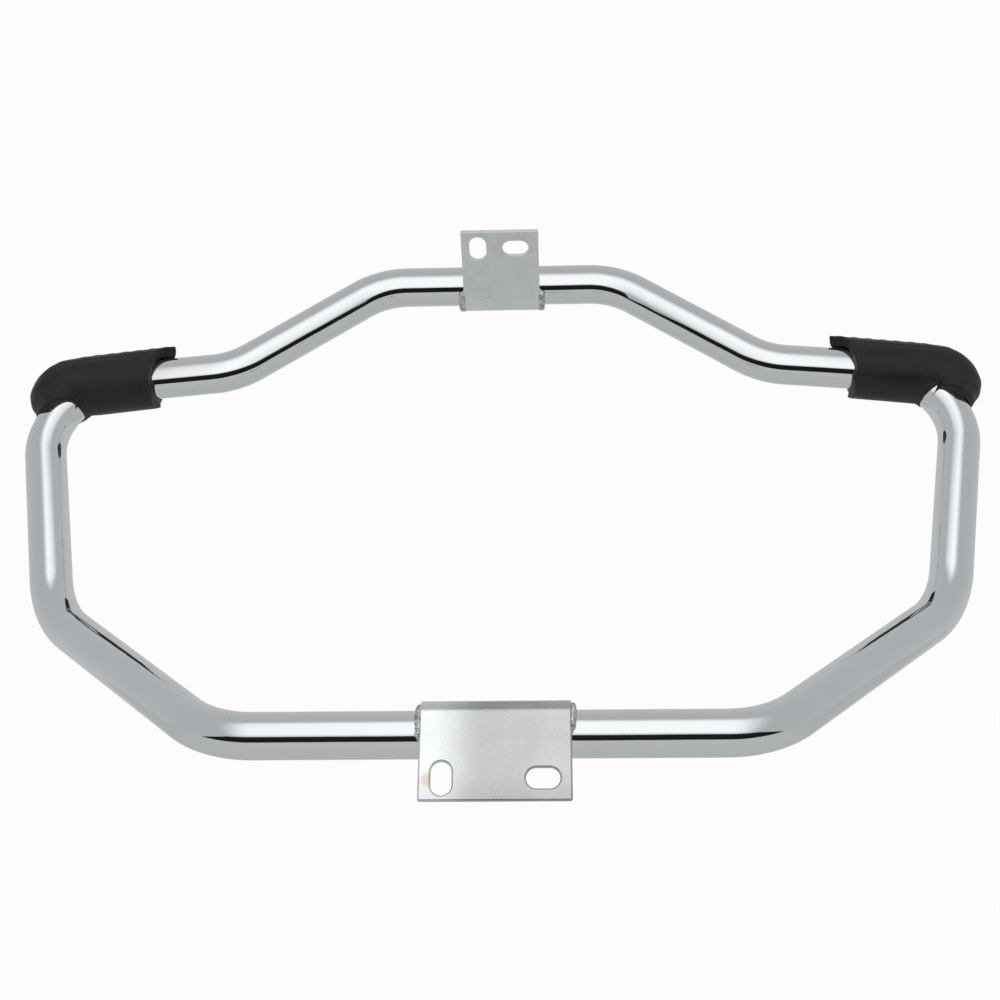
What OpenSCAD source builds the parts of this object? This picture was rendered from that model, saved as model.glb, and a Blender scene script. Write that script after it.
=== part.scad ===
// Motorcycle crash bars: one closed loop of bent round tube for the front of a cruiser frame, with
// two welded mounting brackets and a moulded rubber footrest pad on each upper corner.
// X runs to the right as seen from the saddle, Y forward, Z up along the loop's main plane.
// The origin lies on the mounting face of the lower bracket, midway between its two slots.

/* [Tube] */
// Outside diameter of the tube
tube_d = 31.75; // [28:0.25:34]
// Wall of the tube
tube_wall = 2; // [1.5:0.1:3]
// Centreline radius of the ordinary bends
bend_r = 70; // [60:1:74]
// Centreline radius of the tighter bends under the pads
corner_bend_r = 57; // [52:1:62]
// How much fatter the tube is round a bend than along a straight
bend_swell = 0.1; // [0.08:0.01:0.15]
// Gap between the tube's two ends, filled by the closing weld
root_gap = 2; // [1.5:0.1:3]

/* [Loop] */
// Half width of the top run, to the corner point
top_half = 96; // [88:1:110]
// Half width at the padded corners
corner_half = 370; // [350:1:400]
// How far in from the padded corners the shoulders lie, where the top slopes end
slope_run = 156.5; // [145:0.5:165]
// How far in from the padded corners the knees lie, where the legs turn in and back
leg_lean = 34.5; // [20:0.5:50]
// Half width of the bottom run, to the corner point
foot_half = 185.5; // [165:0.5:195]
// Height of the padded corners over the knees
leg_h = 197; // [180:1:215]
// Rise from the padded corners to the shoulders
shoulder_rise = 14.5; // [5:0.5:25]
// Rise from the shoulders to the top run
top_rise = 78.5; // [60:0.5:95]
// Drop from the knees to the bottom run
foot_drop = 122; // [105:1:140]
// How far the bottom run is set back behind the main plane
foot_setback = 91.5; // [75:0.5:105]

/* [Brackets] */
// Thickness of the bracket plate
sheet_t = 4; // [3:0.25:5]
// Clearance between a bracket and the tube it is welded to
seat_gap = 0.2; // [0.1:0.05:0.4]
// Width of a mounting slot
slot_w = 13.5; // [11:0.25:15]

/* [Lower bracket] */
// Width of the lower bracket
lower_w = 99; // [92:1:110]
// How far it was welded to the right of the loop's middle
lower_shift = 5.3; // [0:0.1:8]
// Bottom edge below the tube's centreline
lower_drop = 49.2; // [46:0.2:56]
// Outside radius of its bend
lower_bend_r = 12.5; // [10:0.5:14]
// Reach of its top flange past the tube's centreline
lower_flange = 15; // [6:1:20]
// Distance between its two slots
lower_pitch = 65.3; // [58:0.1:68]
// Slots' middle below the tube's centreline
lower_slot_drop = 34.4; // [33:0.1:36]
// Slots' middle to the left of the plate's middle
lower_slot_shift = 1.9; // [0:0.1:3]
// Length of its slots
lower_slot_l = 22; // [18:0.5:23]

/* [Upper bracket] */
// Width of the upper bracket
upper_w = 62; // [58:1:72]
// How far it was welded to the right of the loop's middle
upper_shift = 3.4; // [0:0.1:8]
// Angle of its plate's face below the horizontal
upper_tilt = 65; // [55:1:75]
// Free edge beyond the tube's centreline, along the plate
upper_reach = 62; // [58:1:72]
// Straight flange after the quarter turn round the tube
upper_flange = 11; // [4:1:14]
// Distance between its two slots
upper_pitch = 30.2; // [28:0.1:33]
// Slots' middle beyond the tube's centreline, along the plate
upper_slot_reach = 46.7; // [44:0.1:48]
// Slots' middle to the left of the plate's middle
upper_slot_shift = 2.6; // [0:0.1:3]
// Length of its slots
upper_slot_l = 21; // [17:0.5:22]

/* [Welds] */
// Leg of a fillet bead along the tube
bead_leg = 3.6; // [2:0.1:4]
// Height of a fillet bead up the bracket's side
bead_h = 5.2; // [4.8:0.1:6]

/* [Pads] */
// Outside diameter of a pad
pad_d = 48.2; // [46:0.1:50]
// Clearance between a pad and the tube
pad_gap = 0.2; // [0.1:0.05:0.4]
// Radius of the pad's domed outer end, seen from the front
dome_r = 32; // [30:0.5:34]
// Middle of that dome, from the corner point back along the tube
dome_back = 21; // [18:0.5:24]
// Tip of the tongue at the pad's inner end, from the corner point
pad_l = 113.5; // [108:0.5:118]
// Height of the tongue's tip over the tube's centreline
tip_rise = 12; // [10:0.5:14]
// End of the lobe under the tongue, from the corner point
lobe_l = 93; // [90:0.5:98]
// Depth of the lobe's end below the tube's centreline
lobe_drop = 22; // [19:0.5:23]
// Radius of the notch between tongue and lobe
notch_r = 19; // [17:0.5:19.5]
// How far the notch's middle is short of the tongue's tip
notch_back = 1; // [0.5:0.5:3]
// Depth of the notch's middle below the tube's centreline
notch_drop = 9; // [8:0.5:11]
// Radius of the arch in the pad's lower end
arch_r = 17; // [15:0.5:19]
// Middle of the arch, from the corner point back along the tube
arch_back = 22.5; // [20:0.5:24]
// Height of the arch's crown below the tube's centreline
arch_drop = 21; // [18:0.5:23]
// Depth of the outer lip below the tube's centreline
lip_drop = 34; // [30:0.5:36]
// How far its outer end hangs down, as an angle
pad_droop = 1.4; // [0:0.1:1.8]
// How much further out the right pad was pushed on
right_push = 3; // [0:0.5:4]

/* [Hidden] */
$fn = 96;

tube_r = tube_d / 2;
bore_r = tube_r - tube_wall;
// How far a straight runs on into a bend, short enough to stay inside the swell
bend_lap = 1.5;
pad_r = pad_d / 2;

// The loop is drawn about its own middle and the knees' height, then moved to the row's origin
foot_z = -foot_drop;
shoulder_z = leg_h + shoulder_rise;
top_z = shoulder_z + top_rise;
face_offset = tube_r + seat_gap + sheet_t;
lower_x = lower_shift - lower_slot_shift;
origin = [lower_x, -foot_setback - face_offset, foot_z - lower_slot_drop];

// Corner points of the right half, from the bottom run up to the top run, and their bend radii
right_half = [
  [foot_half, -foot_setback, foot_z],
  [corner_half - leg_lean, 0, 0],
  [corner_half, 0, leg_h],
  [corner_half - slope_run, 0, shoulder_z],
  [top_half, 0, top_z],
];
half_radii = [bend_r, bend_r, corner_bend_r, bend_r, bend_r];
half_count = len(right_half);
corners = concat(
  right_half,
  [for (i = [half_count - 1 : -1 : 0]) [-right_half[i].x, right_half[i].y, right_half[i].z]]
);
radii = concat(half_radii, [for (i = [half_count - 1 : -1 : 0]) half_radii[i]]);
tube_end = [root_gap / 2, -foot_setback, foot_z];
route = concat([tube_end], corners, [[-tube_end.x, tube_end.y, tube_end.z]]);
last = len(route) - 1;

function unit(v) = v / norm(v);
function heading(i) = unit(route[i + 1] - route[i]);
function turn(i) = acos(heading(i - 1) * heading(i));
function inward(i) = unit(heading(i) - heading(i - 1) * cos(turn(i)));
function tangent(i) = (i == 0 || i == last) ? 0 : radii[i - 1] * tan(turn(i) / 2);

// Puts what was drawn along +Z at a point, with its X axis along side and its Z axis along ahead
module placed(at, side, ahead) {
  third = cross(ahead, side);
  multmatrix([
    [side.x, third.x, ahead.x, at.x],
    [side.y, third.y, ahead.y, at.y],
    [side.z, third.z, ahead.z, at.z],
    [0, 0, 0, 1],
  ])
    children();
}

// A straight stretch from corner i to the next one, lapped into the fatter bends at its ends
module straight(i, radius) {
  ahead = heading(i);
  lap_in = i == 0 ? 0 : bend_lap;
  lap_out = i == last - 1 ? 0 : bend_lap;
  start = tangent(i) - lap_in;
  finish = norm(route[i + 1] - route[i]) - tangent(i + 1) + lap_out;
  side = unit(cross(ahead, abs(ahead.z) > abs(ahead.x) ? [1, 0, 0] : [0, 0, 1]));
  placed(route[i] + ahead * start, side, ahead)
    cylinder(r = radius, h = finish - start);
}

// The bend at corner i
module bend(i, radius) {
  sweep_r = radii[i - 1];
  start = route[i] - heading(i - 1) * tangent(i);
  away = -inward(i);
  placed(start + inward(i) * sweep_r, away, cross(away, heading(i - 1)))
    rotate_extrude(angle = turn(i))
      translate([sweep_r, 0])
        circle(r = radius + bend_swell);
}

module loop(radius, from, to) {
  for (i = [from : to]) {
    straight(i, radius);
    if (i > from) bend(i, radius);
  }
}

module guard_tube() {
  color("gainsboro")
    translate(-origin)
      difference() {
        loop(tube_r, 0, last - 1);
        loop(bore_r, 0, last - 1);
      }
}

module closing_weld() {
  color("silver")
    translate(-origin - [root_gap / 2, 0, 0] + [0, -foot_setback, foot_z])
      rotate([0, 90, 0])
        linear_extrude(root_gap)
          difference() {
            circle(r = tube_r);
            circle(r = bore_r);
          }
}

// A slot with round ends, along X
module slot_shape(length) {
  reach = (length - slot_w) / 2;
  square([2 * reach, slot_w], center = true);
  for (s = [-1, 1])
    translate([s * reach, 0])
      circle(d = slot_w);
}

// The pair of slots in a plate: the left one stands, the right one lies
module slot_pair(pitch, length, depth) {
  translate([0, 0, -depth])
    linear_extrude(3 * depth) {
      translate([-pitch / 2, 0])
        rotate(90)
          slot_shape(length);
      translate([pitch / 2, 0])
        slot_shape(length);
    }
}

// Turns a profile drawn as [forward, up] into a plate across the given width
module across(width) {
  rotate([90, 0, 90])
    translate([0, 0, -width / 2])
      linear_extrude(width)
        children();
}

// A quarter ring of the sheet's thickness, from the given angle on
module quarter_ring(outer, start) {
  rotate(start)
    intersection() {
      difference() {
        circle(r = outer);
        circle(r = outer - sheet_t);
      }
      square(outer);
    }
}

// Plate behind the tube, bent forward over its top
module lower_profile() {
  hub = [lower_bend_r - face_offset, face_offset - lower_bend_r];
  translate([-face_offset, -lower_drop])
    square([sheet_t, lower_drop + hub.y]);
  translate(hub)
    quarter_ring(lower_bend_r, 90);
  translate([hub.x, face_offset - sheet_t])
    square([lower_flange - hub.x, sheet_t]);
}

module lower_bracket() {
  color("lightgray")
    translate(-origin)
      difference() {
        translate([lower_shift, -foot_setback, foot_z])
          across(lower_w)
            lower_profile();
        translate([lower_x, -foot_setback - face_offset, foot_z - lower_slot_drop])
          rotate([90, 0, 0])
            slot_pair(lower_pitch, lower_slot_l, sheet_t);
      }
}

// Plate under the tube, wrapped round it to the front; drawn with the plate's face towards -X
// and its free edge towards +Y, so that the wrap runs on below
module upper_profile() {
  translate([-face_offset, 0])
    square([sheet_t, upper_reach]);
  quarter_ring(face_offset, 180);
  translate([0, -face_offset])
    square([upper_flange, sheet_t]);
}

module upper_place() {
  translate([upper_shift, 0, top_z])
    rotate([upper_tilt, 0, 0])
      children();
}

module upper_bracket() {
  color("darkgray")
    translate(-origin)
      upper_place()
        difference() {
          across(upper_w)
            upper_profile();
          translate([-upper_slot_shift, -face_offset, upper_slot_reach])
            rotate([90, 0, 0])
              slot_pair(upper_pitch, upper_slot_l, sheet_t);
        }
}

// A fillet bead on the tube, against the side of a bracket, from one angle round to another;
// angles run from the front upwards
module side_bead(side, from, to) {
  rotate([90, 0, 90])
    rotate(from)
      rotate_extrude(angle = to - from)
        polygon([
          [tube_r, 0],
          [tube_r + bead_h, 0],
          [tube_r, side * bead_leg],
        ]);
}

lower_bead = [60, 215];
upper_bead = [165 + upper_tilt, 270 + upper_tilt];

module lower_weld(side) {
  color("gray")
    translate(-origin + [lower_shift + side * lower_w / 2, -foot_setback, foot_z])
      side_bead(side, lower_bead[0], lower_bead[1]);
}

module upper_weld(side) {
  color("gray")
    translate(-origin + [upper_shift + side * upper_w / 2, 0, top_z])
      side_bead(side, upper_bead[0], upper_bead[1]);
}

// The right corner's pad is drawn with X back along the tube from the corner point, Y up across
// it and Z forward; it is the same from front and back, so the left pad is it turned about Z
corner_index = 3;
corner_point = route[corner_index];
dome_in = dome_r - pad_r;
// How much the outline of a pad cuts off its corners, and how far it stands clear of the body
corner_cut = 8;
lobe_cut = 1.5;
clear = 2;
draw_in = 0.4;

module round_run(length) {
  rotate([0, 90, 0])
    linear_extrude(length)
      circle(r = pad_r);
}

// The pad's outer body: a round sleeve along the run, domed over and drawn in a little where the
// tube turns down
module pad_body() {
  translate([dome_back - bend_lap, 0, 0])
    round_run(pad_l + clear - dome_back);
  translate([dome_back, -dome_in, 0]) {
    rotate(90)
      rotate_extrude(angle = 90)
        intersection() {
          translate([dome_in, 0])
            circle(r = pad_r + bend_swell);
          translate([0, -pad_d])
            square([pad_d, 2 * pad_d]);
        }
    translate([-dome_in, clear, 0])
      rotate([90, 0, 0])
        linear_extrude(lip_drop)
          circle(r = pad_r - draw_in);
  }
}

// The pad's outline seen from the front: tongue and notch at the inner end, arch below
module pad_outline() {
  edge = pad_r + clear;
  difference() {
    polygon([
      [-dome_r, edge],
      [pad_l - corner_cut, edge],
      [pad_l, tip_rise],
      [lobe_l, -lobe_drop],
      [lobe_l - lobe_cut, -edge],
      [arch_back + arch_r, -edge],
      [arch_back, -lip_drop],
      [-dome_r, -lip_drop],
    ]);
    translate([pad_l - notch_back, -notch_drop])
      circle(r = notch_r);
    translate([arch_back, -arch_drop - arch_r])
      circle(r = arch_r);
  }
}

module corner_pad(push) {
  middle = pad_l / 2;
  difference() {
    placed(corner_point, heading(corner_index), [0, 1, 0])
      translate([middle - push, 0, 0])
        rotate(pad_droop)
          translate([-middle, 0, 0])
            intersection() {
              pad_body();
              translate([0, 0, -pad_d])
                linear_extrude(2 * pad_d)
                  pad_outline();
            }
    loop(tube_r + pad_gap, corner_index - 1, corner_index);
  }
}

module right_pad() {
  color("#2b2b2d")
    translate(-origin)
      corner_pad(right_push);
}

module left_pad() {
  color("#2b2b2d")
    translate(-origin)
      rotate(180)
        corner_pad(0);
}

guard_tube();
closing_weld();
upper_bracket();
lower_bracket();
upper_weld(-1);  // upper_left_weld
upper_weld(1);  // upper_right_weld
lower_weld(-1);  // lower_left_weld
lower_weld(1);  // lower_right_weld
left_pad();
right_pad();
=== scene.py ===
import math
import random
import bmesh
import bpy
from mathutils import Matrix, Vector


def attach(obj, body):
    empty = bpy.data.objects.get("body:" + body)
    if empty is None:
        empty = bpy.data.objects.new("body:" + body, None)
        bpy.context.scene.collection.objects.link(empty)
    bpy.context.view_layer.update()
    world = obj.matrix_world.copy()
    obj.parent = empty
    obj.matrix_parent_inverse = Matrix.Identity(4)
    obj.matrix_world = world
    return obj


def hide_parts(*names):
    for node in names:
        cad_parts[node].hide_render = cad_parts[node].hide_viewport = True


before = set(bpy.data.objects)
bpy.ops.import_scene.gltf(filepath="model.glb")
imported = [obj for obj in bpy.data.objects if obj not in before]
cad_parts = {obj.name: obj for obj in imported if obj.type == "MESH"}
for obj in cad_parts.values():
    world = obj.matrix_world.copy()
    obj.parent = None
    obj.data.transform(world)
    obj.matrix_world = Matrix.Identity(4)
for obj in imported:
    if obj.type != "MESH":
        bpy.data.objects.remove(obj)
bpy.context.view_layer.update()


# Camera: at the photograph's place, low behind the guard on the side that faces the engine, and
# looking up at it by about 26 degrees. Everything is in metres, in the frame of the CAD model.
camera_place = Vector((0.0455, -0.9449, -0.2564))
camera_ahead = Vector((-0.0395, 0.9013, 0.4315)).normalized()
camera_up = Vector((0.0127, -0.4313, 0.9021))

camera_data = bpy.data.cameras.new("studio_camera")
camera_data.lens = 54.5
camera_data.sensor_width = 36
camera = bpy.data.objects.new("studio_camera", camera_data)
camera_right = camera_ahead.cross(camera_up).normalized()
camera_turn = Matrix((camera_right, camera_right.cross(camera_ahead), -camera_ahead)).transposed()
camera.matrix_world = Matrix.Translation(camera_place) @ camera_turn.to_4x4()
bpy.context.scene.collection.objects.link(camera)
bpy.context.scene.camera = camera
bpy.context.scene.view_settings.view_transform = "Standard"


# Studio: a grey room with a pale table under the guard, a near-black sheet in front of the table
# that stands in for the floor in shade there as painted shade, and one big soft panel above the
# camera. The chrome shows all of it; the camera sees plain white.
room_grey = (0.455, 0.47, 0.482, 1)
room_depth = (-0.6, 0.9)
room_level = (0.97, 1.14)
plain_white = (0.975, 0.975, 0.975, 1)
panel_width, panel_height = 2.0, 2.2
panel_place, panel_aim = (0, -0.96, 0.6), (0, 0, 0.6)
panel_glow = 0.6
panel_side_fade = (0.32, 0.88)
panel_top_fade = (0.72, 1.5)
panel_low_fade = (-0.45, -0.1)
panel_beam_fade = (math.radians(6), math.radians(74))
table_colour = (0.92, 0.93, 0.92, 1)
table_height = -0.2116
table_back = -0.209
table_reach = 3.0
table_whitening = 0.8
# Painted shade: the near-black sheet stands in for the floor lying in shade in front of the table.
shade_sheet_colour = (0.012, 0.012, 0.012, 1)
sheet_height = -0.35
sheet_outline = [(-0.74, -0.96), (0.74, -0.96), (0.92, -0.22), (-0.92, -0.22)]


def node(tree, kind, inputs=None, **settings):
    made = tree.nodes.new(kind)
    for name, value in settings.items():
        setattr(made, name, value)
    for name, value in (inputs or {}).items():
        if isinstance(value, bpy.types.NodeSocket):
            tree.links.new(value, made.inputs[name])
        else:
            made.inputs[name].default_value = value
    return made


def ramp(tree, value, low, high, start=0.0, end=1.0, soft=True):
    """Runs from start to end as the value goes from low to high, and stays there beyond."""
    kind = "SMOOTHSTEP" if soft else "LINEAR"
    sent = {"Value": value, "From Min": low, "From Max": high, "To Min": start, "To Max": end}
    return node(tree, "ShaderNodeMapRange", sent, interpolation_type=kind).outputs["Result"]


def maths(tree, operation, first, second=0.0):
    return node(tree, "ShaderNodeMath", {0: first, 1: second}, operation=operation).outputs[0]


def times(tree, first, second):
    return maths(tree, "MULTIPLY", first, second)


def light_mix(tree, share, first, second):
    return node(tree, "ShaderNodeMixShader", {0: share, 1: first, 2: second}).outputs[0]


room = bpy.data.worlds.new("studio_room")
bpy.context.scene.world = room
room.use_nodes = True
tree = room.node_tree
tree.nodes.clear()
direction = node(tree, "ShaderNodeTexCoord").outputs["Generated"]
depth = node(tree, "ShaderNodeSeparateXYZ", {"Vector": direction}).outputs["Y"]
level = ramp(tree, depth, *room_depth, *room_level)
lit = node(tree, "ShaderNodeBackground", {"Color": room_grey, "Strength": level}).outputs[0]
seen = node(tree, "ShaderNodeBackground", {"Color": plain_white, "Strength": 1.0}).outputs[0]
to_camera = node(tree, "ShaderNodeLightPath").outputs["Is Camera Ray"]
node(tree, "ShaderNodeOutputWorld", {"Surface": light_mix(tree, to_camera, lit, seen)})

panel = bpy.data.lights.new("panel_behind", "AREA")
panel.shape = "RECTANGLE"
panel.size, panel.size_y = panel_width, panel_height
panel.energy = math.pi * panel_width * panel_height
panel.use_nodes = True
tree = panel.node_tree
tree.nodes.clear()
surface = node(tree, "ShaderNodeNewGeometry").outputs
spot = node(tree, "ShaderNodeSeparateXYZ", {"Vector": surface["Position"]}).outputs
leave = node(tree, "ShaderNodeSeparateXYZ", {"Vector": surface["Incoming"]}).outputs
leave_side, leave_ahead = (maths(tree, "ABSOLUTE", leave[axis]) for axis in "XY")
swing = maths(tree, "ARCTAN2", leave_side, leave_ahead)
across = ramp(tree, maths(tree, "ABSOLUTE", spot["X"]), *panel_side_fade, 1.0, 0.0)
above = ramp(tree, spot["Z"], *panel_top_fade, 1.0, 0.0)
below = ramp(tree, spot["Z"], *panel_low_fade)
beam = ramp(tree, swing, *panel_beam_fade, 1.0, 0.0, soft=False)
level = times(tree, times(tree, across, above), times(tree, below, beam))
glow = node(tree, "ShaderNodeEmission", {"Strength": times(tree, level, panel_glow)})
node(tree, "ShaderNodeOutputLight", {"Surface": glow.outputs[0]})
lamp = bpy.data.objects.new("panel_behind", panel)
lamp_turn = (Vector(panel_aim) - Vector(panel_place)).to_track_quat("-Z", "Y")
lamp.matrix_world = Matrix.Translation(panel_place) @ lamp_turn.to_matrix().to_4x4()
bpy.context.scene.collection.objects.link(lamp)


def finished(name, bm, material=None, smooth=True):
    mesh = bpy.data.meshes.new(name)
    bm.to_mesh(mesh)
    bm.free()
    piece = bpy.data.objects.new(name, mesh)
    bpy.context.scene.collection.objects.link(piece)
    for polygon in mesh.polygons:
        polygon.use_smooth = smooth
    if material:
        mesh.materials.append(material)
    return piece


def new_material(name, **settings):
    """A material with plain values for the sockets that are named in the settings."""
    material = bpy.data.materials.new(name)
    material.use_nodes = True
    tree = material.node_tree
    shader = tree.nodes["Principled BSDF"]
    for socket, value in settings.items():
        shader.inputs[socket.replace("_", " ")].default_value = value
    return material, tree, shader


def matt_card(name, colour):
    card, tree, shader = new_material(name, Base_Color=colour, Roughness=0.9)
    shader.inputs["Specular IOR Level"].default_value = 0.1
    return card, tree, shader


bm = bmesh.new()
bmesh.ops.create_grid(bm, x_segments=1, y_segments=1, size=1)
bmesh.ops.scale(bm, vec=(table_reach, (table_reach - table_back) / 2, 1), verts=bm.verts)
table_middle = (0, (table_reach + table_back) / 2, table_height)
bmesh.ops.translate(bm, vec=table_middle, verts=bm.verts)
paper, tree, shader = matt_card("table_paper", table_colour)
white = node(tree, "ShaderNodeEmission", {"Color": plain_white, "Strength": 1.0}).outputs[0]
to_camera = node(tree, "ShaderNodeLightPath").outputs["Is Camera Ray"]
pale = light_mix(tree, times(tree, to_camera, table_whitening), shader.outputs[0], white)
tree.links.new(pale, tree.nodes["Material Output"].inputs["Surface"])
table = finished("studio_table", bm, paper, smooth=False)

# Painted shade: a near-black sheet below and in front of the table, hidden from the camera and
# from diffuse light, stands in for the shaded floor there so that the chrome reflects it.
bm = bmesh.new()
bm.faces.new([bm.verts.new((x, y, sheet_height)) for x, y in sheet_outline])
shadow, tree, shader = matt_card("shaded_floor_sheet", shade_sheet_colour)
shaded_floor_piece = finished("studio_floor_shade_sheet", bm, shadow, smooth=False)
shaded_floor_piece.visible_camera = False
shaded_floor_piece.visible_diffuse = False


# Guard tube: one length of 1 1/4 inch steel tube, bent at ten places on a tube bender, polished
# and chrome plated. Its ends meet behind the lower bracket.
loop_origin = Vector((0.0034, -0.111575, -0.1564))
tube_radius = 0.015875
tube_sides = 96
bend_steps = 32
root_gap = 0.002
crease_angle = math.radians(30)
flat_bend = 2
flat_share = 0.15
flat_band = 1.1
flat_fade = 0.75
half_corners = [
    ((0.1855, -0.0915, -0.122), 0.070),
    ((0.3355, 0, 0), 0.070),
    ((0.370, 0, 0.197), 0.057),
    ((0.2135, 0, 0.2115), 0.070),
    ((0.096, 0, 0.290), 0.070),
]
tube_end = Vector((root_gap / 2, -0.0915, -0.122))
corners = [(Vector(p), r) for p, r in half_corners]
corners += [(Vector((-p[0], p[1], p[2])), r) for p, r in reversed(half_corners)]
last_end = Vector((-tube_end.x, tube_end.y, tube_end.z))


def bent_tube(bm, start, corners, finish, radius):
    """Draws the tube as it is bent: straight on, round the next bend, straight on again."""
    points = [start] + [p for p, r in corners] + [finish]
    ahead = (points[1] - points[0]).normalized()
    circle = bmesh.ops.create_circle(bm, cap_ends=True, segments=tube_sides, radius=radius)
    turn = ahead.to_track_quat("Z", "Y").to_matrix().to_4x4()
    bmesh.ops.transform(bm, matrix=Matrix.Translation(start) @ turn, verts=circle["verts"])
    edges = [e for e in bm.edges]
    place = start.copy()
    for i, (corner, bend_radius) in enumerate(corners):
        onward = (points[i + 2] - corner).normalized()
        angle = ahead.angle(onward)
        tangent = bend_radius * math.tan(angle / 2)
        edges = run_straight(bm, edges, corner - ahead * tangent - place)
        inward = (onward - ahead * math.cos(angle)).normalized()
        centre = corner - ahead * tangent + inward * bend_radius
        axis = ahead.cross(onward)
        spun = bmesh.ops.spin(
            bm, geom=edges, cent=centre, axis=axis, angle=angle, steps=bend_steps)
        edges = [g for g in spun["geom_last"] if isinstance(g, bmesh.types.BMEdge)]
        place = corner + onward * tangent
        ahead = onward
    edges = run_straight(bm, edges, finish - place)
    bmesh.ops.contextual_create(bm, geom=edges)
    bmesh.ops.recalc_face_normals(bm, faces=bm.faces)
    for edge in bm.edges:
        edge.smooth = edge.calc_face_angle() < crease_angle


def run_straight(bm, edges, step):
    grown = bmesh.ops.extrude_edge_only(bm, edges=edges)["geom"]
    verts = [g for g in grown if isinstance(g, bmesh.types.BMVert)]
    bmesh.ops.translate(bm, vec=step, verts=verts)
    return [g for g in grown if isinstance(g, bmesh.types.BMEdge) and g.is_boundary]


def ease(value, low, high):
    part = min(1.0, max(0.0, (value - low) / (high - low)))
    return part * part * (3 - 2 * part)


def bend_place(index):
    """A right-hand bend's centre, half its turn, and the way from its centre to its corner."""
    before, corner, after = (Vector(half_corners[index + k][0]) for k in (-1, 0, 1))
    back, onward = (before - corner).normalized(), (after - corner).normalized()
    half_turn = (math.pi - back.angle(onward)) / 2
    middle = (back + onward).normalized()
    centre = corner + middle * half_corners[index][1] / math.cos(half_turn)
    return centre, half_turn, -middle


def flatten_bend(bm, index):
    """A tight bend is flattened on its outer side, as a tube bent without a mandrel is."""
    bend_radius = half_corners[index][1]
    centre, half_turn, outward = bend_place(index)
    for vert in bm.verts:
        arm = Vector((abs(vert.co.x), vert.co.y, vert.co.z)) - centre
        arm.y = 0
        angle = arm.angle(outward)
        outer_side = bend_radius < arm.length < bend_radius + flat_band * tube_radius
        if angle < half_turn and outer_side:
            fade = ease(half_turn - angle, 0, flat_fade)
            inset = flat_share * (arm.length - bend_radius) * fade
            vert.co.x -= math.copysign(arm.x / arm.length * inset, vert.co.x)
            vert.co.z -= arm.z / arm.length * inset


bm = bmesh.new()
bent_tube(bm, tube_end, corners, last_end, tube_radius)
flatten_bend(bm, flat_bend)
bmesh.ops.translate(bm, vec=-loop_origin, verts=bm.verts)

mottle = bpy.data.node_groups.new("mottle", "ShaderNodeTree")
mottle.interface.new_socket("Place", in_out="INPUT", socket_type="NodeSocketVector")
mottle.interface.new_socket("Scale", in_out="INPUT", socket_type="NodeSocketFloat")
mottle.interface.new_socket("Detail", in_out="INPUT", socket_type="NodeSocketFloat")
mottle.interface.new_socket("Noise", in_out="OUTPUT", socket_type="NodeSocketFloat")
mottle.interface.new_socket("Level", in_out="OUTPUT", socket_type="NodeSocketFloat")
given = node(mottle, "NodeGroupInput").outputs
asked = {"Vector": given["Place"], "Scale": given["Scale"], "Detail": given["Detail"]}
noise = node(mottle, "ShaderNodeTexNoise", asked).outputs["Fac"]
node(mottle, "NodeGroupOutput", {"Noise": noise, "Level": ramp(mottle, noise, 0.3, 0.7)})


def mottled(tree, place, scale, detail):
    """Uneven patches of a finish: Noise is the plain value, and Level runs clear from 0 to 1."""
    inputs = {"Place": place, "Scale": scale, "Detail": detail}
    return node(tree, "ShaderNodeGroup", inputs, node_tree=mottle).outputs


def between(tree, share, low, high):
    return ramp(tree, share, 0.0, 1.0, low, high, soft=False)


def bumped(tree, height, strength, distance):
    sent = {"Height": height, "Strength": strength, "Distance": distance}
    return node(tree, "ShaderNodeBump", sent).outputs["Normal"]


def finish_with(tree, shader, **sockets):
    for socket, value in sockets.items():
        tree.links.new(value, shader.inputs[socket.replace("_", " ")])


chrome, tree, shader = new_material(
    "bright_chrome", Base_Color=(0.885, 0.895, 0.9, 1), Metallic=1)
place = node(tree, "ShaderNodeTexCoord").outputs["Object"]
haze = between(tree, mottled(tree, place, 24.0, 6.0)["Noise"], 0.035, 0.085)
wave = bumped(tree, mottled(tree, place, 16.0, 2.0)["Noise"], 0.5, 0.001)
finish_with(tree, shader, Roughness=haze, Normal=wave)
tube = finished("guard_tube_bent", bm, chrome)
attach(tube, "root")
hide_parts("guard_tube")


# Closing weld: the ring of weld metal that joins the tube's two ends behind the lower bracket. It
# is ground flush and plated with the tube, so the CAD ring only takes the tube's chrome.
closing_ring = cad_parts["closing_weld"].data
closing_ring.materials.clear()
closing_ring.materials.append(chrome)


# Brackets: 4 mm steel plate, blanked, slotted, folded in a press and plated with a satin finish.
# Both are welded to the tube at their sides.
merge_distance = 1e-6
flat_angle = math.radians(0.5)
fold_angle = math.radians(40)
edge_steps = 3
left_fade = (-0.042, -0.006)
right_fade = (0.010, 0.050)
fade_stray = 0.02
shine_spread = (0.95, 1.04)
green_cast, blue_cast = 1.01, 1.005
heat_spot = (-0.0412, 0, -0.001)
heat_fade = (0.001, 0.0075)
heat_strength = 0.6
heat_brown = (0.62, 0.46, 0.30, 1)
roughness_spread = 0.08


def rounded_copy(node_name, radius):
    bm = bmesh.new()
    bm.from_mesh(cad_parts[node_name].data)
    bmesh.ops.remove_doubles(bm, verts=bm.verts, dist=merge_distance)
    bmesh.ops.dissolve_limit(bm, angle_limit=flat_angle, verts=bm.verts, edges=bm.edges)
    sharp = [e for e in bm.edges if e.is_manifold and e.calc_face_angle() > fold_angle]
    bmesh.ops.bevel(bm, geom=sharp, offset=radius, affect="EDGES", segments=edge_steps,
                    profile=0.5, material=-1)
    return bm


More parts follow.
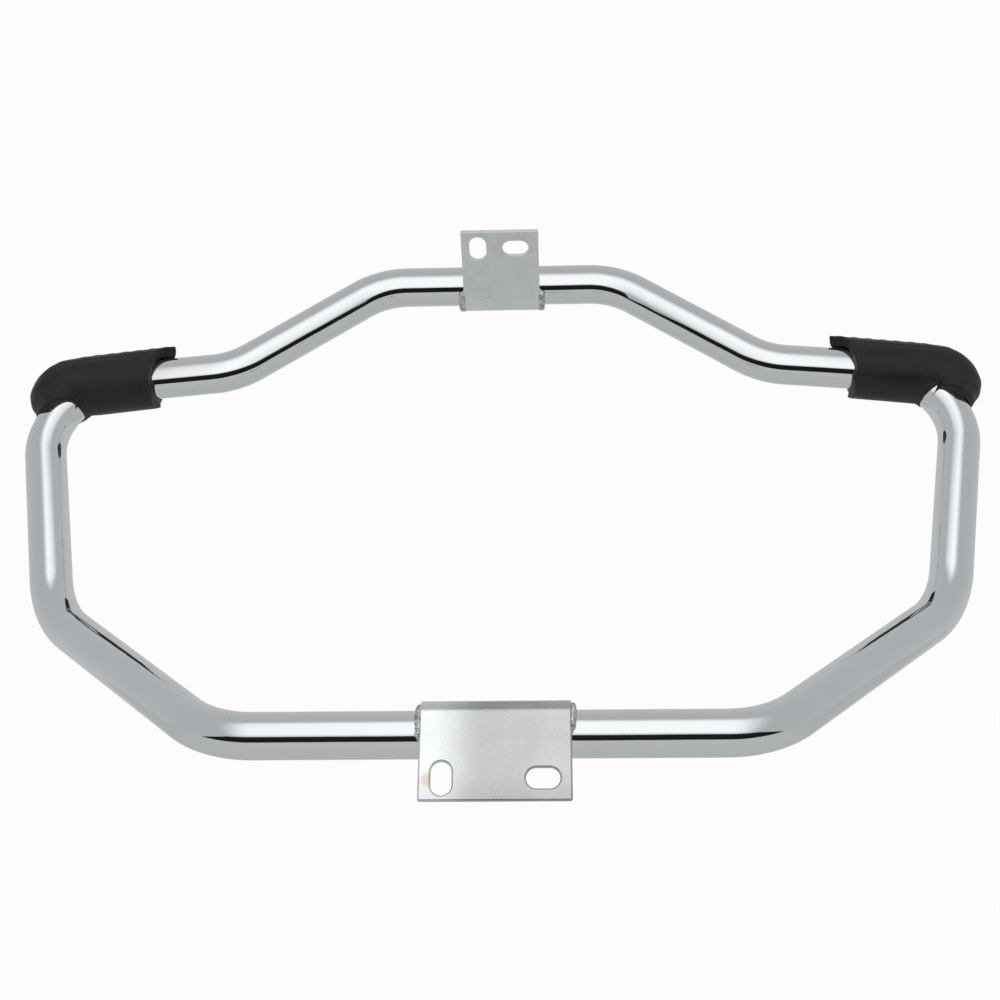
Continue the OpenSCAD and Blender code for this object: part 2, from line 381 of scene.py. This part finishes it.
def plated_sheet(name, levels, foot, roughest):
    """Plating whose colour carries a painted reflection, lighter or darker along the sheet and
    darker over its foot, with random mottling.

    levels is the painted reflection brightness at the left, in the middle and at the right, and
    foot is where the painted darker lower part starts and ends and how much brightness is left
    there.
    """
    sheet, tree, shader = new_material(name, Metallic=1)
    place = node(tree, "ShaderNodeTexCoord").outputs["Object"]
    grain = mottled(tree, place, 700.0, 5.0)
    cloud = mottled(tree, place, 55.0, 6.0)
    spot = node(tree, "ShaderNodeSeparateXYZ", {"Vector": place}).outputs
    stray = times(tree, maths(tree, "SUBTRACT", cloud["Noise"], 0.5), fade_stray)
    along = maths(tree, "ADD", spot["X"], stray)
    left, middle, right = levels
    foot_start, foot_end, foot_share = foot
    # Painted reflection: the brightness ramps along the sheet and falls over the foot; the cloud
    # and grain then add random mottling.
    sheen_and_mottle = ramp(tree, along, *left_fade, left, middle)
    sheen_and_mottle = maths(tree, "ADD", sheen_and_mottle, ramp(tree, along, *right_fade, 0.0, right - middle))
    sheen_and_mottle = times(tree, sheen_and_mottle, ramp(tree, spot["Z"], foot_start, foot_end, foot_share, 1.0))
    sheen_and_mottle = times(tree, sheen_and_mottle, between(tree, cloud["Level"], *shine_spread))
    sheen_and_mottle = times(tree, sheen_and_mottle, between(tree, grain["Level"], *shine_spread))
    greener, bluer = times(tree, sheen_and_mottle, green_cast), times(tree, sheen_and_mottle, blue_cast)
    tint = node(tree, "ShaderNodeCombineColor", {0: sheen_and_mottle, 1: greener, 2: bluer}).outputs[0]
    upright = {0: place, 1: (1, 0, 1)}
    flat = node(tree, "ShaderNodeVectorMath", upright, operation="MULTIPLY").outputs["Vector"]
    ends = {0: flat, 1: heat_spot}
    away = node(tree, "ShaderNodeVectorMath", ends, operation="DISTANCE").outputs["Value"]
    heat = ramp(tree, away, *heat_fade, heat_strength, 0.0)
    warm = node(tree, "ShaderNodeMix", {"Factor": heat, "A": tint}, data_type="RGBA")
    warm.inputs["B"].default_value = heat_brown
    finish_with(tree, shader, Base_Color=warm.outputs["Result"],
                Roughness=between(tree, cloud["Level"], roughest - roughness_spread, roughest),
                Normal=bumped(tree, grain["Noise"], 0.12, 0.0002))
    return sheet


# The lower sheet's levels paint a reflection that is bright at the left and darker in the middle
# and at the right; each foot paints the lower part darker.
satin_upper = plated_sheet("satin_sheet_upper", (0.98, 0.96, 0.98), (0.35, 0.42, 0.97), 0.66)
satin_lower = plated_sheet("satin_sheet_lower", (0.95, 0.57, 0.63), (-0.0148, 0.004, 0.86), 0.19)
plates = [("upper_bracket", satin_upper, 0.0008), ("lower_bracket", satin_lower, 0.0014)]
for bracket, sheet, edge_radius in plates:
    plate = finished(bracket + "_plate", rounded_copy(bracket, edge_radius), sheet)
    plate.modifiers.new("even_normals", "WEIGHTED_NORMAL").keep_sharp = True
    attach(plate, "root")
    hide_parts(bracket)


# Weld beads: a run of MIG beads at each side of a bracket, laid round the tube as far as the
# bracket touches it and plated over with the rest.
bead_colours = ((0.80, 0.80, 0.79, 1), (0.46, 0.44, 0.42, 1))
bead_roughness = (0.14, 0.34)
ripple_pitch = 0.0014
ripple_depth = 0.00035
ripple_points = 6
bead_wander = 0.0003
bead_sink = 0.0008
bead_points = 9
bead_fullness = 0.12
bead_squareness = 0.8
end_share, middle_share = 0.2, 0.8
run_out = 0.15
lower_middle = Vector((0.0053, -0.0915, -0.122)) - loop_origin
upper_middle = Vector((0.0034, 0, 0.290)) - loop_origin
upper_half_width = 0.031
lower_half_width = 0.0495
dice = random.Random(7)

weld, tree, shader = new_material("plated_weld", Metallic=1)
place = node(tree, "ShaderNodeTexCoord").outputs["Object"]
soot = mottled(tree, place, 260.0, 5.0)
tone = node(tree, "ShaderNodeMix", {"Factor": ramp(tree, soot["Noise"], 0.35, 0.65)},
            data_type="RGBA")
tone.inputs["A"].default_value, tone.inputs["B"].default_value = bead_colours
finish_with(tree, shader, Base_Color=tone.outputs["Result"],
            Roughness=between(tree, soot["Level"], *bead_roughness))


def on_tube(centre, x, radius, angle):
    """A point at a distance from the tube's axis; angles run from the front up."""
    return (centre.x + x, centre.y + radius * math.cos(angle), centre.z + radius * math.sin(angle))


def fillet_bead(centre, side, start, finish, leg, rise, run_in):
    """A rippled fillet round the tube from one angle to another."""
    bm = bmesh.new()
    length = tube_radius * math.radians(finish - start)
    steps = int(length / ripple_pitch * ripple_points)
    root_radius = tube_radius - bead_sink
    rings = []
    wander = 0.0
    for i in range(steps + 1):
        if i % ripple_points == 0:
            wander = dice.uniform(-bead_wander, bead_wander)
        along = i / steps
        angle = math.radians(start + (finish - start) * along)
        taper = end_share + middle_share * min(ease(along, 0, run_in), ease(1 - along, 0, run_out))
        ripple = 1 - abs(2 * ((i % ripple_points) / ripple_points) - 1)
        crown = ripple_depth * ripple + wander * 0.5
        ring = []
        for k in range(bead_points):
            turn = math.pi / 2 * k / (bead_points - 1)
            bulge = 1 + (bead_fullness + crown / leg) * math.sin(2 * turn)
            width = (leg * taper + wander + bead_sink) * math.sin(turn) ** bead_squareness
            height = (rise * taper + bead_sink) * math.cos(turn) ** bead_squareness
            x = -bead_sink + width * bulge
            ring.append(bm.verts.new(
                on_tube(centre, side * x, root_radius + height * bulge, angle)))
        ring.append(bm.verts.new(on_tube(centre, -side * bead_sink, root_radius, angle)))
        rings.append(ring)
    count = len(rings[0])
    for near, far in zip(rings, rings[1:]):
        for k in range(count):
            after = (k + 1) % count
            bm.faces.new((near[k], near[after], far[after], far[k]))
    bm.faces.new(rings[0])
    bm.faces.new(rings[-1])
    bmesh.ops.recalc_face_normals(bm, faces=bm.faces)
    return bm


# Each bead: its piece, the bracket's middle and side, first and last angle, leg, rise, run-in
beads = [
    ("upper_left_weld", upper_middle, -upper_half_width, 224, 314, 0.0042, 0.0045, 0.12),
    ("upper_right_weld", upper_middle, upper_half_width, 224, 314, 0.0038, 0.0045, 0.12),
    ("lower_left_weld", lower_middle, -lower_half_width, 85, 215, 0.0027, 0.0050, 0.4),
    ("lower_right_weld", lower_middle, lower_half_width, 85, 196, 0.0027, 0.0050, 0.4),
]
for name, middle, aside, start, finish, leg, rise, run_in in beads:
    centre = middle + Vector((aside, 0, 0))
    side = math.copysign(1, aside)
    bead = finished(
        name + "_bead", fillet_bead(centre, side, start, finish, leg, rise, run_in), weld)
    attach(bead, "root")
    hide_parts(name)


# Footrest pads: moulded black rubber with a ribbed tread over the top and front, stretched over
# the tube's upper corners, where each has settled round the bend. Below, x runs along a pad from
# the corner inwards, y up and z across, from the pad's outer end on the tube's axis.
rubber_dark = (0.0082, 0.0084, 0.0088, 1)
# The lighter rubber tone is partly uneven wear and partly painted sheen.
rubber_wear_and_sheen = (0.0185, 0.0187, 0.0192, 1)
# Painted shade: near-black for the line along the edge of the tread band.
seam_shade_black = (0.003, 0.003, 0.003, 1)
rubber_roughness = (0.42, 0.56)
seam_depth = 2.0
pad_bend = 2
pad_middle = 0.05675
pad_droop = math.radians(1.4)
voxel = 0.0009
soften_passes = 5

lip_line = 0.020
lip_depth, lip_reach = (0.018, 0.024), (0.012, 0.026)
dome_depth, dome_reach = (0.018, 0.027), (0.030, 0.045)
arch_depth, arch_start, arch_end = (0.002, 0.018), (0.020, 0.038), (0.040, 0.075)
mouth_depth, mouth_reach = (-0.004, 0.016), (0.060, 0.088)
slack_start, slack_share = 0.030, 0.036
tongue_start = 0.084
tongue_reach, tongue_tip_reach = (0.084, 0.102), (0.090, 0.106)
tongue_climb, climb_start, climb_end = 0.58, (-0.3, 0.3), (0.6, 1.5)
tongue_push, tongue_cut = 0.0005, 0.0085
tongue_side, tongue_round = 0.25, 0.7

wall_sink, wall_gain = 0.0008, 0.0024
wall_search = 0.012
inner_facing, outer_facing = -0.15, 0.5
top_share, side_share = 0.45, 0.55
hug_depth, hug_reach = (-0.006, 0.003), (0.045, 0.060)

tread_wall, tread_facing, tread_start = 0.0205, 0.6, 0.012
tread_height = 0.0003
tread_rise, tread_fall, tread_reach = (-48, -44), (146, 150), (0.014, 0.017)
rib_pitch, rib_width, rib_height, rib_flank = 0.0112, 0.0058, 0.0007, 0.0012
rib_rise, rib_fall = (-40, -34), (112, 120)
first_rib, last_rib = 0.0195, 0.104
seam_angle, seam_half_width, seam_wall, seam_reach = 149, 2.6, 0.0235, (0.016, 0.024)

rubber, tree, shader = new_material("moulded_rubber")
place = node(tree, "ShaderNodeTexCoord").outputs["Object"]
grain = mottled(tree, place, 900.0, 5.0)["Noise"]
cloud = mottled(tree, place, 38.0, 5.0)["Level"]
seam = node(tree, "ShaderNodeAttribute", attribute_name="tread_seam_shade").outputs["Fac"]
# Painted sheen and wear: the lighter cloud patches stand partly for uneven rubber and partly for a
# sheen.
tone = node(tree, "ShaderNodeMix", {"Factor": cloud}, data_type="RGBA")
tone.inputs["A"].default_value, tone.inputs["B"].default_value = rubber_dark, rubber_wear_and_sheen
# Painted shade: the seam line at the tread band's edge is coloured near-black, and the bump sinks
# it as a groove.
dark = node(tree, "ShaderNodeMix", {"Factor": seam, "A": tone.outputs["Result"]},
            data_type="RGBA")
dark.inputs["B"].default_value = seam_shade_black
skin = maths(tree, "SUBTRACT", grain, times(tree, seam, seam_depth))
shader.inputs["Specular IOR Level"].default_value = 0.42
finish_with(tree, shader, Base_Color=dark.outputs["Result"],
            Roughness=between(tree, cloud, *rubber_roughness),
            Normal=bumped(tree, skin, 0.7, 0.0004))

pad_corner, pad_bend_radius = corners[pad_bend]
pad_run = (corners[pad_bend + 1][0] - pad_corner).normalized()
pad_leg = (corners[pad_bend - 1][0] - pad_corner).normalized()
bend_centre, bend_half_turn, bend_outward = bend_place(pad_bend)

# How far the dome's outline really stands from its middle, by angle from straight out to the top
dome_middle = (0.021, -0.0079)
dome_table = [
    (-60, 0.78), (-35, 0.80), (-25, 0.87), (-15, 0.965), (-3, 1.0), (15, 0.95), (45, 0.915),
    (70, 0.925), (85, 0.95), (110, 0.985), (130, 1.0),
]


def dome_share(angle):
    for (low, first), (high, second) in zip(dome_table, dome_table[1:]):
        if low <= angle < high:
            return first + (second - first) * (angle - low) / (high - low)
    return 1.0 if angle > 0 else dome_table[0][1]


def window(value, rise, fall):
    return ease(value, *rise) * (1 - ease(value, *fall))


def settled(local, rear, lip_share, arch_slide, mouth_slide):
    """Where a point of the plain pad lies once the pad has settled round the bend."""
    x, y = local.x, local.y
    lip = ease(-y, *lip_depth) * (1 - ease(x, *lip_reach))
    y += lip * (lip_share - 1) * (y + lip_line)
    far, up = dome_middle[0] - x, y - dome_middle[1]
    share = dome_share(math.degrees(math.atan2(up, far)))
    dome = ease(math.hypot(far, up), *dome_depth) * (1 - ease(x, *dome_reach))
    share = 1 + (share - 1) * dome
    x, y = dome_middle[0] - far * share, dome_middle[1] + up * share
    x -= arch_slide * ease(-y, *arch_depth) * window(x, arch_start, arch_end)
    x -= mouth_slide * ease(-y, *mouth_depth) * ease(x, *mouth_reach)
    x -= max(0.0, x - slack_start) * slack_share
    if x <= tongue_start:
        return Vector((x, y, local.z))
    radius = math.hypot(y, local.z)
    climb = math.atan2(y, abs(local.z))
    climb += tongue_climb * ease(x, *tongue_reach) * window(climb, climb_start, climb_end)
    over = min(1.0, max(0.0, (math.atan2(y, rear) - tongue_side) / tongue_round))
    rounding = tongue_push - tongue_cut * (1 - math.sqrt(1 - over * over))
    x += ease(x, *tongue_tip_reach) * rounding
    across = math.copysign(radius * math.cos(climb), local.z)
    return Vector((x, radius * math.sin(climb), across))


def hugging(point, normal, share):
    """Closes the pad's inner wall on the tube and keeps its outer wall clear of the tube."""
    arm = Vector((point.x - bend_centre.x, 0, point.z - bend_centre.z))
    if arm.angle(bend_outward) < bend_half_turn:
        nearest = bend_centre + arm.normalized() * pad_bend_radius
    else:
        feet = [pad_corner + way * (point - pad_corner).dot(way) for way in (pad_leg, pad_run)]
        nearest = min(feet, key=lambda foot: (point - foot).length)
    radial = point - nearest
    facing = normal.dot(radial.normalized())
    sideways = top_share + side_share * abs(radial.y) / radial.length
    gain = wall_gain * ease(facing, inner_facing, outer_facing) * sideways
    clear = tube_radius - wall_sink + gain
    inner_wall = facing < inner_facing and radial.length < tube_radius + wall_search
    if inner_wall or radial.length < clear:
        return point.lerp(nearest + radial.normalized() * clear, share)
    return point


def keep_largest_island(bm):
    left = set(bm.verts)
    islands = []
    while left:
        found = [left.pop()]
        for vert in found:
            for edge in vert.link_edges:
                other = edge.other_vert(vert)
                if other in left:
                    left.remove(other)
                    found.append(other)
        islands.append(found)
    largest = set(max(islands, key=len))
    stray = [v for v in bm.verts if v not in largest]
    bmesh.ops.delete(bm, geom=stray, context="VERTS")


def melted_copy(node_name):
    """The plain pad as one closed skin of small even faces."""
    bm = bmesh.new()
    bm.from_mesh(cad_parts[node_name].data)
    bmesh.ops.remove_doubles(bm, verts=bm.verts, dist=merge_distance)
    blank = finished(node_name + "_blank", bm)
    remesh = blank.modifiers.new("melt", "REMESH")
    remesh.mode = "VOXEL"
    remesh.voxel_size = voxel
    depsgraph = bpy.context.evaluated_depsgraph_get()
    melted = bpy.data.meshes.new_from_object(blank.evaluated_get(depsgraph))
    bpy.data.objects.remove(blank)
    bm = bmesh.new()
    bm.from_mesh(melted)
    bpy.data.meshes.remove(melted)
    keep_largest_island(bm)
    return bm


def raise_tread(bm, local_of, world_of, flip):
    """Raises the tread band and its ribs, and marks the parting line beside them, which the rubber
    shows as a groove with painted shade in it.
    """
    bm.normal_update()
    seam = bm.verts.layers.float.new("tread_seam_shade")
    moves = []
    for vert in bm.verts:
        local = local_of(vert.co)
        outward = Vector((0, local.y, local.z))
        reach = outward.length
        outward.normalize()
        outward = world_of(outward)
        outer = reach > tread_wall and vert.normal.dot(outward) > tread_facing
        if outer and local.x > tread_start:
            angle = math.degrees(math.atan2(local.y, local.z * flip))
            band = window(angle, tread_rise, tread_fall) * ease(local.x, *tread_reach)
            phase = (local.x - first_rib) % rib_pitch
            rib = window(phase, (0, rib_flank), (rib_width, rib_width + rib_flank))
            ribs = window(angle, rib_rise, rib_fall) * (local.x < last_rib)
            raised = band * (tread_height + rib_height * rib * ribs)
            moves.append((vert, outward * raised))
            line = max(0.0, 1 - abs(angle - seam_angle) / seam_half_width)
            vert[seam] = line * ease(local.x, *seam_reach) * (reach > seam_wall)
    for vert, move in moves:
        vert.co += move


def pad_piece(node_name, turned, pushed, nudge, settling):
    """The pad with soft moulded edges and its ribbed tread; the left one is turned half round."""
    upward = Vector((0, 1, 0)).cross(pad_run)
    lean = Matrix.Rotation(pad_droop, 3, "Z")
    axes = Matrix((pad_run, upward, Vector((0, 1, 0)))).transposed() @ lean
    seat = pad_corner + pad_run * (pad_middle - pushed) - axes @ Vector((pad_middle, 0, 0))
    flip = -1 if turned else 1
    half_turn = Matrix.Diagonal((flip, flip, 1))

    def local_of(point):
        return axes.transposed() @ (half_turn @ (point + loop_origin) - seat)

    def world_of(direction):
        return half_turn @ (axes @ direction)

    bm = melted_copy(node_name)
    bm.normal_update()
    for vert in bm.verts:
        local = local_of(vert.co)
        moved = seat + axes @ settled(local, -local.z * flip, *settling)
        share = ease(-local.y, *hug_depth) * (1 - ease(local.x, *hug_reach))
        vert.co = half_turn @ hugging(moved, half_turn @ vert.normal, share) - loop_origin
    for _ in range(soften_passes):
        bmesh.ops.smooth_vert(
            bm, verts=bm.verts, factor=0.5, use_axis_x=True, use_axis_y=True, use_axis_z=True)
    raise_tread(bm, local_of, world_of, flip)
    bmesh.ops.translate(bm, vec=nudge, verts=bm.verts)
    bmesh.ops.recalc_face_normals(bm, faces=bm.faces)
    return finished(node_name + "_moulded", bm, rubber)


# Each pad: its piece, turned half round, pushed outwards, nudge, and how it has settled, which is
# the share of the lip that is left and how far the arch and the mouth have slid
pads = [
    ("left_pad", True, 0.0, Vector((0.0015, 0, 0.0001)), (0.8, 0.003, 0.0023)),
    ("right_pad", False, 0.003, Vector((0, 0, 0)), (0.65, 0.007, 0.0025)),
]
for name, turned, pushed, nudge, settling in pads:
    pad = pad_piece(name, turned, pushed, nudge, settling)
    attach(pad, "root")
    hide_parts(name)
